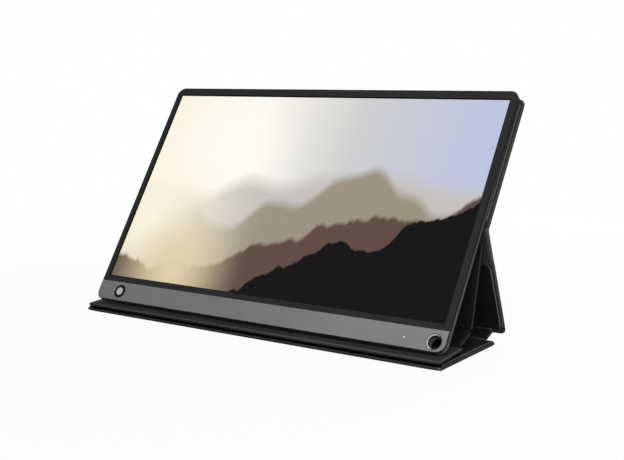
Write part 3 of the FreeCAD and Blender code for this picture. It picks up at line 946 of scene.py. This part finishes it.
def soft_strip(name, width, path, halves, pucker, skin=cover_skin):
    """A soft strip with a rounded section: a path seen from the side, with half its thickness at each point."""
    across = []
    for k, (y, z) in enumerate(path):
        before = path[max(k - 1, 0)]
        after = path[min(k + 1, len(path) - 1)]
        way = Vector((after[0] - before[0], after[1] - before[1])).normalized()
        across.append((-way.y, way.x))
    points = []
    for station in range(stations):
        share = station / (stations - 1)
        x = (share - 0.5) * width
        fade = min(1.0, end_share + min(share, 1 - share) * stations / end_stations)
        wave = sum(height * math.sin(x * pitch + start) for height, pitch, start in pucker_waves)
        for side in (1, -1):
            order = range(len(path)) if side == 1 else range(len(path) - 1, -1, -1)
            for k in order:
                bell = math.sin(math.pi * k / (len(path) - 1))
                off = side * halves[k] * fade + pucker * wave * bell
                y, z = (at + off * way for at, way in zip(path[k], across[k]))
                points.append((x * MM, y * MM, z * MM))
    count = 2 * len(path)
    cut_end = [cut_wear_and_highlight[skin]] * count
    wear_and_highlight = cut_end + [0.0] * (len(points) - 2 * count) + cut_end
    made = through_rings(name, points, count, wear_and_highlight, skin)
    return made


def bend_path(axis, angle_in, angle_out, run_in, run_out, steps):
    """A path that comes in along one direction and rounds a fold's axis into another."""
    first = onward(axis, angle_in, -run_in)
    last = onward(axis, angle_out, run_out)
    path = []
    for step in range(steps + 1):
        t = step / steps
        shares = ((1 - t) ** 2, 2 * t * (1 - t), t * t)
        path.append(tuple(sum(s * p for s, p in zip(shares, places)) for places in zip(first, axis, last)))
    return path


crease_run = 1.2
tuck = 0.9
fold_steps = 14
fold_half = 0.55
fold_swell = 0.4
fold_pucker = 0.03
outer_fold = 336.0
inner_fold = 348.0
folds = (
    ("base_fold", "base_crease", "base", "spine", outer_fold, spine_axis, 0.0, spine_angle, cover_skin),
    ("leg_fold", "leg_crease", "spine", "leg", outer_fold, leg_axis, spine_angle, leg_angle, cover_skin),
    (
        "riser_fold_skin", "riser_crease", "base", "riser", inner_fold,
        riser_axis, ledge_angle, riser_angle, shaded_skin,
    ),
    (
        "prop_fold_skin", "prop_crease", "riser", "prop", inner_fold,
        prop_axis, riser_angle, prop_angle, shaded_skin,
    ),
)
for fold_name, crease, body_in, body_out, fold_width, axis, angle_in, angle_out, fold_skin in folds:
    fold_path = bend_path(axis, angle_in, angle_out, crease_run + tuck, crease_start + tuck, fold_steps)
    fold_halves = [fold_half + fold_swell * abs(2 * k / fold_steps - 1) ** 2 for k in range(fold_steps + 1)]
    strip = soft_strip(fold_name, fold_width, fold_path, fold_halves, fold_pucker, fold_skin)
    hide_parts(crease)
    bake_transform(strip)

web_length = 28.904
web_bend = 3.0
web_steps = 16
web_half = 0.62
web_swell = 0.1
web_pucker = 0.05
web_low = onward(back_axis, leg_angle, -web_length - tuck)
web_flat = web_length + tuck - web_bend
web_straight = [onward(web_low, leg_angle, web_flat * k / web_steps) for k in range(web_steps)]
web_path = web_straight + bend_path(back_axis, leg_angle, back_angle, web_bend, crease_start + tuck, fold_steps)
web_halves = [web_half + web_swell * abs(2 * k / (len(web_path) - 1) - 1) ** 4 for k in range(len(web_path))]
web = soft_strip("leg_web_skin", cover_width, web_path, web_halves, web_pucker)
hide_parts("leg_web")
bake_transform(web)

# Front fold: the skin's loop round the base's front edge and back up to the underside of the ledge, held by
# glue. It leaves a groove between the two leaves, where its upper part is given a near-black painted shade.
loop_centre = (-6.95, 1.4)
loop_radius = 0.98
loop_foot = 1.4
loop_steps = 12
loop_width = 359.6
loop_half = 0.4
loop_pucker = 0.02
groove_level = 2.6 * MM
loop_path = [(loop_centre[0] + loop_foot, loop_centre[1] - loop_radius)]
loop_path += [onward(loop_centre, -90 - 180 * step / loop_steps, loop_radius) for step in range(loop_steps + 1)]
loop_path += [(-6.5, 2.62), (-6.0, 3.1), (-5.4, 3.45), (-4.7, 3.66), (-4.0, 3.74)]
front_loop = soft_strip("front_loop", loop_width, loop_path, [loop_half] * len(loop_path), loop_pucker)
groove_painted_shade = leatherette("groove_shade_leatherette", dark=0.001, light=0.003, worn_and_lit=0.02, rough=(0.9, 0.8), gloss=0.0)
front_loop.data.materials.append(groove_painted_shade)
# faces above the groove's level take the painted shade
for polygon in front_loop.data.polygons:
    if polygon.center.z > groove_level:
        polygon.material_index = 1
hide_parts("front_fold")
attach(front_loop, "base")

# Stitches: a lockstitch of black polyester thread, sewn round each leaf in its pressed channel. It holds the
# turned-over skin to the leaf.
thread, thread_tree, thread_shader = new_finish(
    "black_thread", {"Specular IOR Level": 0.08, "Sheen Weight": 0.03}
)
thread_place = node(thread_tree, "ShaderNodeTexCoord").outputs["Object"]
thread_twist = noise(thread_tree, thread_place, scale=5200.0, detail=2.0)[0]
thread_tone = two_tone(thread_tree, thread_twist, grey(0.007), grey(0.022))
thread_tree.links.new(thread_tone, thread_shader["Base Color"])
thread_rough = (0.45, 0.65)
thread_relief = 0.00008
thread_tree.links.new(spread(thread_tree, thread_twist, *thread_rough), thread_shader["Roughness"])
raised(thread_tree, thread_shader, thread_twist, thread_relief)

stitching = bpy.data.node_groups.new("hem_stitches", "GeometryNodeTree")
stitching.is_modifier = True
stitch_inputs = {}
for label, kind in (
    ("Stitch lines", "NodeSocketGeometry"),
    ("Pitch", "NodeSocketFloat"),
    ("Length", "NodeSocketFloat"),
    ("Thread", "NodeSocketFloat"),
    ("Finish", "NodeSocketMaterial"),
):
    stitch_inputs[label] = stitching.interface.new_socket(label, in_out="INPUT", socket_type=kind).identifier
stitching.interface.new_socket("Stitches", in_out="OUTPUT", socket_type="NodeSocketGeometry")
stitch_in = node(stitching, "NodeGroupInput").outputs
sunk_share = 0.6
arc_steps = 4
thread_sides = 5


def sew(kind, inputs=None, **settings):
    """The first output of a new node in the stitching's tree."""
    return node(stitching, kind, inputs, **settings).outputs[0]


lines = sew("GeometryNodeMeshToCurve", {"Mesh": stitch_in["Stitch lines"]})
spaced = sew("GeometryNodeResampleCurve", {"Curve": lines, "Length": stitch_in["Pitch"]}, mode="LENGTH")
tangent = sew("GeometryNodeInputTangent")
face_out = sew("GeometryNodeInputNamedAttribute", {"Name": "face_out"}, data_type="FLOAT_VECTOR")
aligned = sew("FunctionNodeAlignRotationToVector", {"Vector": tangent}, axis="X")
turned_out = {"Rotation": aligned, "Vector": face_out}
upright = sew("FunctionNodeAlignRotationToVector", turned_out, axis="Z", pivot_axis="X")
half_length = maths(stitching, "MULTIPLY", stitch_in["Length"], 0.5)
half_back = maths(stitching, "MULTIPLY", stitch_in["Length"], -0.5)
sunk = maths(stitching, "MULTIPLY", stitch_in["Thread"], -sunk_share)
arc = {
    "Resolution": arc_steps,
    "Start": sew("ShaderNodeCombineXYZ", {"X": half_back, "Z": sunk}),
    "Middle": sew("ShaderNodeCombineXYZ", {"Z": stitch_in["Thread"]}),
    "End": sew("ShaderNodeCombineXYZ", {"X": half_length, "Z": sunk}),
}
stitch_arc = sew("GeometryNodeCurveQuadraticBezier", arc)
thread_size = {"Resolution": thread_sides, "Radius": stitch_in["Thread"]}
thread_ring = sew("GeometryNodeCurvePrimitiveCircle", thread_size)
swept = {"Curve": stitch_arc, "Profile Curve": thread_ring, "Fill Caps": True}
one_stitch = sew("GeometryNodeCurveToMesh", swept)
sewn = sew("GeometryNodeInstanceOnPoints", {"Points": spaced, "Instance": one_stitch, "Rotation": upright})
solid_stitches = sew("GeometryNodeRealizeInstances", {"Geometry": sewn})
threaded = sew("GeometryNodeSetMaterial", {"Geometry": solid_stitches, "Material": stitch_in["Finish"]})
node(stitching, "NodeGroupOutput", {"Stitches": threaded})

stitch_values = {"Pitch": 3.4 * MM, "Length": 2.6 * MM, "Thread": 0.19 * MM, "Finish": thread}
for body, runs in stitch_lines.items():
    line_points = []
    line_edges = []
    line_outs = []
    for line, out in runs:
        first = len(line_points)
        line_points += line
        line_edges += [(first + k, first + (k + 1) % len(line)) for k in range(len(line))]
        line_outs += out * len(line)
    line_mesh = bpy.data.meshes.new(f"{body}_stitches")
    line_mesh.from_pydata(line_points, line_edges, [])
    outs = line_mesh.attributes.new("face_out", "FLOAT_VECTOR", "POINT")
    outs.data.foreach_set("vector", line_outs)
    stitches = bpy.data.objects.new(f"{body}_stitches", line_mesh)
    scene.collection.objects.link(stitches)
    needle = stitches.modifiers.new("needle", "NODES")
    needle.node_group = stitching
    for label, value in stitch_values.items():
        needle[stitch_inputs[label]] = value
    bpy.context.view_layer.update()
    sewn_mesh = bpy.data.meshes.new_from_object(stitches.evaluated_get(bpy.context.evaluated_depsgraph_get()))
    stitches.modifiers.clear()
    stitches.data = sewn_mesh
    for polygon in sewn_mesh.polygons:
        polygon.use_smooth = True
    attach(stitches, body)
